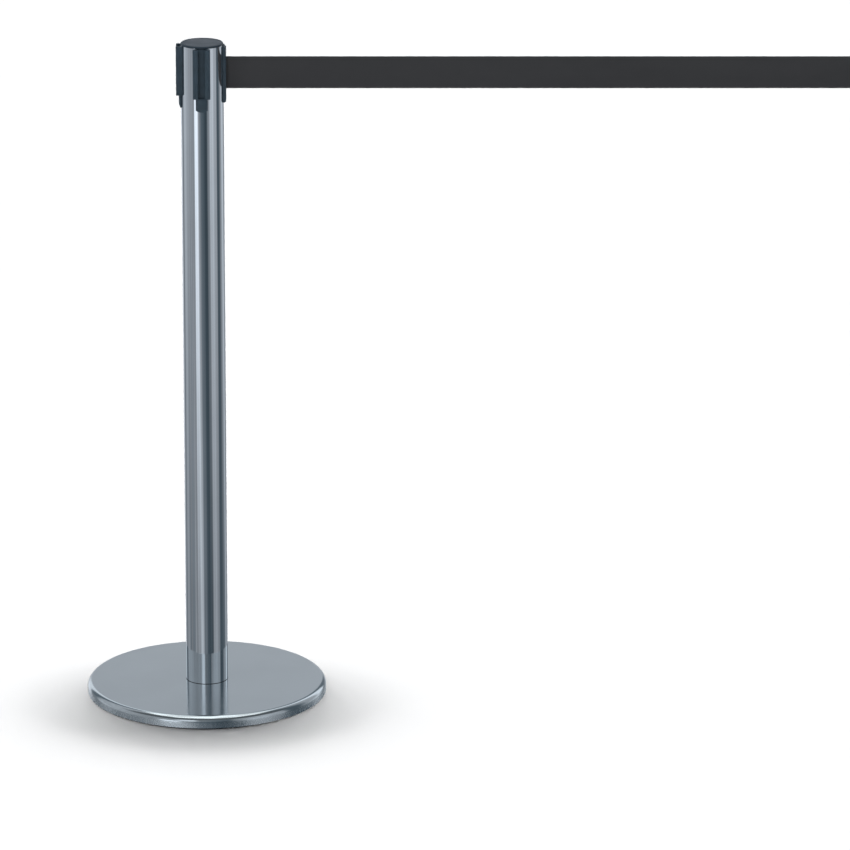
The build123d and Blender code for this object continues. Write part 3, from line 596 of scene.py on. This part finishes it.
class Strip:
    """Upright webbing drawn in plan by straight runs and swings, then raised and thickened."""

    def __init__(self, x, y, low, high, thickness):
        self.bm = bmesh.new()
        self.length = self.bm.verts.layers.float.new("length")
        self.low, self.high, self.thickness = low, high, thickness
        self.tip = self.bm.verts.new((x, y, low))

    def run(self, x, y, pieces=1):
        start = self.tip.co.copy()
        for index in range(1, pieces + 1):
            made = bmesh.ops.extrude_vert_indiv(self.bm, verts=[self.tip])
            self.tip = made["verts"][0]
            self.tip.co = start.lerp(Vector((x, y, self.low)), index / pieces)

    def swing(self, x, y, angle, steps):
        made = bmesh.ops.spin(self.bm, geom=[self.tip], cent=(x, y, self.low), axis=(0, 0, 1),
                              angle=angle, steps=steps, use_merge=False, use_duplicate=False)
        self.tip = [item for item in made["geom_last"] if isinstance(item, bmesh.types.BMVert)][0]

    def measure(self):
        """Writes each point's distance along the strip into its length layer."""
        ends = [vert for vert in self.bm.verts if len(vert.link_edges) == 1]
        here = next(vert for vert in ends if vert is not self.tip)
        distance = {here: 0.0}
        while here:
            onward = [edge.other_vert(here) for edge in here.link_edges
                      if edge.other_vert(here) not in distance]
            if onward:
                distance[onward[0]] = distance[here] + (onward[0].co - here.co).length
            here = onward[0] if onward else None
        for vert, value in distance.items():
            vert[self.length] = value

    def piece(self, name, body, nodes):
        self.measure()
        bm = self.bm
        made = bmesh.ops.extrude_edge_only(bm, edges=list(bm.edges))["geom"]
        top = [item for item in made if isinstance(item, bmesh.types.BMVert)]
        bmesh.ops.translate(bm, verts=top, vec=(0, 0, self.high - self.low))
        bmesh.ops.solidify(bm, geom=list(bm.faces), thickness=self.thickness)
        bmesh.ops.recalc_face_normals(bm, faces=list(bm.faces))
        uv = bm.loops.layers.uv.new("strip")
        for face in bm.faces:
            for loop in face.loops:
                loop[uv].uv = (loop.vert[self.length], loop.vert.co.z)
        return settle(bm, name, body, "belt", nodes, material=belt_strip)


def make_belt_lead():
    """The belt off the roll, round the back guide roller and out to the outlet."""
    roll_gap, roller_gap, on_roll_turn = 0.35 * MM, 0.25 * MM, radians(25)
    roller_x, roller_y = (roller_low.x + roller_high.x) / 2, (roller_low.y + roller_high.y) / 2
    half = belt_thickness / 2
    on_roll = roll_high.x + roll_gap + half
    on_roller = (roller_high.y - roller_low.y) / 2 + roller_gap + half
    leave = atan2(roller_y, roller_x) + acos((on_roll + on_roller) / hypot(roller_x, roller_y))
    start = leave + on_roll_turn
    outer = on_roll + half
    lead = Strip(outer * cos(start), outer * sin(start), lead_low.z, lead_high.z, belt_thickness)
    lead.swing(0, 0, -on_roll_turn, 10)
    inner = on_roller - half
    lead.run(roller_x + inner * cos(leave + pi), roller_y + inner * sin(leave + pi))
    lead.swing(roller_x, roller_y, 1.5 * pi - leave - pi, 8)
    lead.run(span_low.x, lead.tip.co.y)
    lead.piece("belt_lead_woven", "post", ["belt_lead"])


def make_roll():
    """The wound belt: half turns about two centres, so each layer lies on the last."""
    layers, filled = 12, 0.9  # filled is how much of the pitch the belt takes up
    pitch = (roll_high.x - core_radius) / (layers + 0.5)
    roll = Strip(core_radius, 0, roll_low.z, roll_high.z, pitch * filled)
    for index in range(2 * layers):
        roll.swing(0 if index % 2 == 0 else -pitch / 2, 0, pi, 32)
    roll.piece("belt_roll_woven", "spool", ["wound_belt"])


def make_end_loop():
    """The belt's sewn end: out along one face, round the pin and back along the other."""
    pin_gap, seam_length, layer, apart = 0.1 * MM, 8 * MM, 0.56 * MM, 0.02 * MM
    pin_x = (end_pin_low.x + end_pin_high.x) / 2
    turn = (end_pin_high.x - end_pin_low.x) / 2 + pin_gap
    start, neck = span_high.x, span_high.x + seam_length
    spread = acos((turn + layer / 2) / (pin_x - neck))
    loop = Strip(start, apart, span_low.z, span_high.z, layer)
    loop.run(neck, apart, 4)
    loop.run(pin_x - turn * cos(spread), turn * sin(spread), 3)
    loop.swing(pin_x, 0, -(2 * pi - 2 * spread), 24)
    loop.run(neck, -apart, 3)
    loop.run(start, -apart, 4)
    return loop.piece("belt_end_woven", "end_clip", ["belt_end_loop"])


# ---- every other node: an eased copy in its own finish ----
eased = {
    # node: (width of the eased edges in millimetres, segments)
    "base_weight": (0.8, 2), "base_washer": (0.25, 2), "base_spring_washer": (0.3, 2), "base_bolt": (0.5, 2),
    "tube_foot_plug": (0.4, 2), "receiver_front": (0.35, 3), "receiver_left": (0.35, 3),
    "receiver_back": (0.35, 3), "belt_outlet": (0.3, 3), "outlet_screws": (0.12, 2),
    "cassette_body": (0.3, 2), "cassette_lid": (0.3, 2), "lid_screws": (0.12, 2), "spool_shaft": (0.3, 2),
    "shaft_clip": (0.12, 2), "thrust_washer": (0.15, 2), "spring_cup": (0.15, 2), "spring_cup_lid": (0.15, 2),
    "power_spring": (0.08, 1), "brake_drum": (0.3, 2), "guide_pins": (0.25, 2), "spool_arbor": (0.15, 2),
    "spool_bush_lower": (0.15, 2), "spool_bush_upper": (0.15, 2), "belt_spool": (0.3, 2),
    "spool_flange_top": (0.3, 2), "belt_anchor_pin": (0.25, 2), "brake_carrier": (0.3, 2),
    "brake_shoe_back": (0.25, 2), "brake_lining_back": (0.12, 2), "brake_shoe_front": (0.25, 2),
    "brake_lining_front": (0.12, 2), "guide_roller_back": (0.3, 2), "guide_roller_front": (0.3, 2),
    "belt_end_pin": (0.3, 2), "clip_body": (0.35, 3), "clip_cover": (0.3, 3), "clip_screws": (0.12, 2),
}


def make_eased_pieces():
    slots = {part["node"]: part["material_slot"] for part in frame["record"]["subparts"]}
    bodies = {node: body for body, nodes in frame["record"]["behaviour"]["bodies"].items() for node in nodes}
    for node, (width, segments) in eased.items():
        settle(eased_copy(node, width, segments), node + "_finished", bodies[node], slots[node], [node],
               keep_shading=True)


# ---- floor, light and camera ----
def make_floor():
    """A wide matt floor that the polish doesn't reflect."""
    half_width, grey = 40, 0.22
    bm = bmesh.new()
    bmesh.ops.create_grid(bm, x_segments=8, y_segments=8, size=half_width)
    mesh = bpy.data.meshes.new("floor")
    bm.to_mesh(mesh)
    bm.free()
    paint = bpy.data.materials.new("matt_floor")
    paint.use_nodes = True
    shader = paint.node_tree.nodes["Principled BSDF"]
    shader.inputs["Base Color"].default_value = (grey, grey, grey, 1)
    shader.inputs["Roughness"].default_value = 1.0
    shader.inputs["Specular IOR Level"].default_value = 0.0
    mesh.materials.append(paint)
    floor = bpy.data.objects.new("floor", mesh)
    bpy.context.scene.collection.objects.link(floor)
    floor.visible_glossy = False


# the studio's grey cards round the post, by direction: degrees from the front, and brightness
above_cards = [
    (-180, 0.52), (-164, 0.52), (-158, 0.95), (-146, 0.95), (-142, 0.20), (-128, 0.16), (-122, 0.50),
    (-100, 0.55), (-60, 0.40), (-30, 0.45), (-24, 0.95), (-12, 0.95), (-7, 0.32), (8, 0.22), (22, 0.14),
    (28, 0.35), (40, 0.50), (60, 0.62), (78, 0.45), (84, 0.12), (100, 0.14), (112, 0.45), (128, 0.5),
    (134, 1.05), (146, 1.05), (150, 0.18), (162, 0.20), (168, 0.52), (180, 0.52),
]
level_cards = [
    (-180, 0.50), (-164, 0.52), (-158, 0.95), (-146, 0.95), (-142, 0.26), (-128, 0.24), (-122, 0.58),
    (-106, 0.60), (-98, 0.52), (-80, 0.46), (-52, 0.36), (-45, 0.38), (-42, 1.45), (-27, 1.40), (-23, 0.40),
    (-14, 0.28), (-8, 0.15), (8, 0.10), (22, 0.06), (27, 0.24), (36, 0.40), (43, 0.72), (58, 0.74),
    (64, 0.50), (80, 0.50), (86, 0.10), (98, 0.13), (112, 0.42), (134, 0.8), (150, 0.22), (164, 0.5),
]
low_cards = [
    (-180, 0.60), (-164, 0.62), (-152, 0.70), (-144, 0.30), (-128, 0.22), (-118, 0.36), (-100, 0.26),
    (-94, 0.14), (-88, 0.30), (-72, 0.19), (-55, 0.34), (-32, 0.30), (-26, 0.62), (-14, 0.58), (-9, 0.24),
    (4, 0.22), (10, 0.10), (38, 0.08), (44, 0.36), (58, 0.40), (76, 0.28), (84, 0.11), (124, 0.13),
    (136, 0.55), (150, 0.20), (164, 0.5),
]


def card_stops(cards):
    """Colour stops for a full turn of cards: cool greys, and the darker ones bluer."""
    stops = []
    for angle, grey in cards:
        darkness = max(0, 1 - grey / 0.3)
        tint = (grey * (0.95 - 0.3 * darkness), grey, grey * (1.08 + 0.2 * darkness))
        stops.append(((angle + 180) / 360, tint))
    return stops


def tilt(angle):
    """The Z part of a direction that rises at an angle in degrees."""
    return sin(radians(angle))


def make_room(sky):
    """What the polish reflects: cards all round, a dark upper wall in front and a patchy bright ceiling."""
    east, north, rise = sky.axes()
    south = sky.maths("MULTIPLY", north, -1)
    fall = sky.maths("MULTIPLY", rise, -1)
    turn = sky.remap(sky.maths("ARCTAN2", east, south), (-pi, pi))
    level, low, above = (sky.ramp(turn, card_stops(cards)) for cards in (level_cards, low_cards, above_cards))
    walls = sky.mix(sky.remap(fall, (tilt(12.5), tilt(20)), smooth=True), level, low)
    walls = sky.mix(sky.remap(rise, (-0.04, 0.04), smooth=True), walls, above)

    # things standing about dapple the walls, less so at the back
    dapple = sky.noise(1, detail=3, roughness=0.5, stretch=(22, 22, 5))
    dapple = sky.maths("ADD", sky.maths("MULTIPLY", dapple, 1.1), 0.45)
    behind = sky.remap(north, (0.5, 0.85), smooth=True)
    evened = sky.maths("ADD", sky.maths("MULTIPLY", behind, sky.maths("SUBTRACT", 1, dapple)), dapple)
    walls = sky.scaled(walls, evened)

    high_up = sky.remap(rise, (tilt(24), tilt(30)), smooth=True)
    in_front = sky.remap(south, (-0.2, 0.2), smooth=True)
    walls = sky.mix(sky.maths("MULTIPLY", high_up, in_front), walls, (0.13, 0.14, 0.15))
    patches = sky.remap(sky.noise(1, detail=2, roughness=0.5, stretch=(8, 8, 8)), (0.42, 0.6), smooth=True)
    ceiling = sky.mix(patches, (0.85, 0.88, 0.90), (2.07, 2.15, 2.20))
    return sky.mix(sky.remap(rise, (tilt(56), tilt(66)), smooth=True), walls, ceiling)


def collection(name, pieces):
    group = bpy.data.collections.new(name)
    for piece in pieces:
        group.objects.link(bpy.data.objects[piece])
    return group


def lamp(name, kind, energy, place, target, size=None, angle=None):
    """A lamp that lights the pieces but doesn't show in their polish."""
    data = bpy.data.lights.new(name, kind)
    data.energy = energy
    if size:
        data.size = size
    if angle:
        data.angle = angle
    light = bpy.data.objects.new(name, data)
    light.location = place
    light.rotation_euler = (Vector(target) - light.location).to_track_quat("-Z", "Y").to_euler()
    light.visible_glossy = False
    light.visible_camera = False
    bpy.context.scene.collection.objects.link(light)
    return light


def make_studio():
    """The room, white where the camera sees past the floor, a key light, and the lights on the floor."""
    world = bpy.data.worlds.new("studio")
    bpy.context.scene.world = world
    world.use_nodes = True
    sky = Nodes(world.node_tree, "Generated")
    seen = sky.nodes.new("ShaderNodeLightPath").outputs["Is Camera Ray"]
    white = (1.0, 1.0, 1.0)
    sky.link(sky.mix(seen, make_room(sky), white), sky.nodes["Background"].inputs["Color"])
    lamp("key", "AREA", 16, (-1.3, -1.6, 2.3), (0.1, 0, 0.6), size=1.6)

    # a fan of low, soft light from behind that falls on the floor alone and stops at the base
    floor_only = collection("floor_only", ["floor"])
    base_only = collection("base_only", ["base_cover_polished", "floor_ring_rubber"])
    strongest, height, softness, reach = 18.2, radians(6.2), radians(12), 160
    for side in range(-80, 81, 20):
        place = (sin(radians(side)), cos(radians(side)), tan(height))
        strength = strongest * (1 - abs(side) / reach)
        low_light = lamp("low_light_%d" % side, "SUN", strength, place, (0, 0, 0), angle=softness)
        low_light.light_linking.receiver_collection = floor_only
        low_light.light_linking.blocker_collection = base_only
    bpy.context.scene.view_settings.view_transform = "Standard"


def make_camera():
    """A long lens from well back, tipped down a little, with the post left of the middle."""
    aside, back, height, tipped_down = 0.2526, 8.5, 2.9617, 0.2821
    data = bpy.data.cameras.new("camera")
    data.sensor_width = 36
    data.lens = 251.31
    data.shift_x, data.shift_y = 0.06, -0.06
    data.clip_start, data.clip_end = 0.1, 200
    camera = bpy.data.objects.new("camera", data)
    camera.location = (aside, -back, height)
    camera.rotation_euler = (pi / 2 - tipped_down, 0, 0)
    bpy.context.scene.collection.objects.link(camera)
    bpy.context.scene.camera = camera


make_camera()
make_floor()
make_base()
make_tube()
make_cap()
make_eased_pieces()
belt, line = make_belt_span()
make_belt_lead()
make_roll()
loop = make_end_loop()
make_studio()

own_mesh(belt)
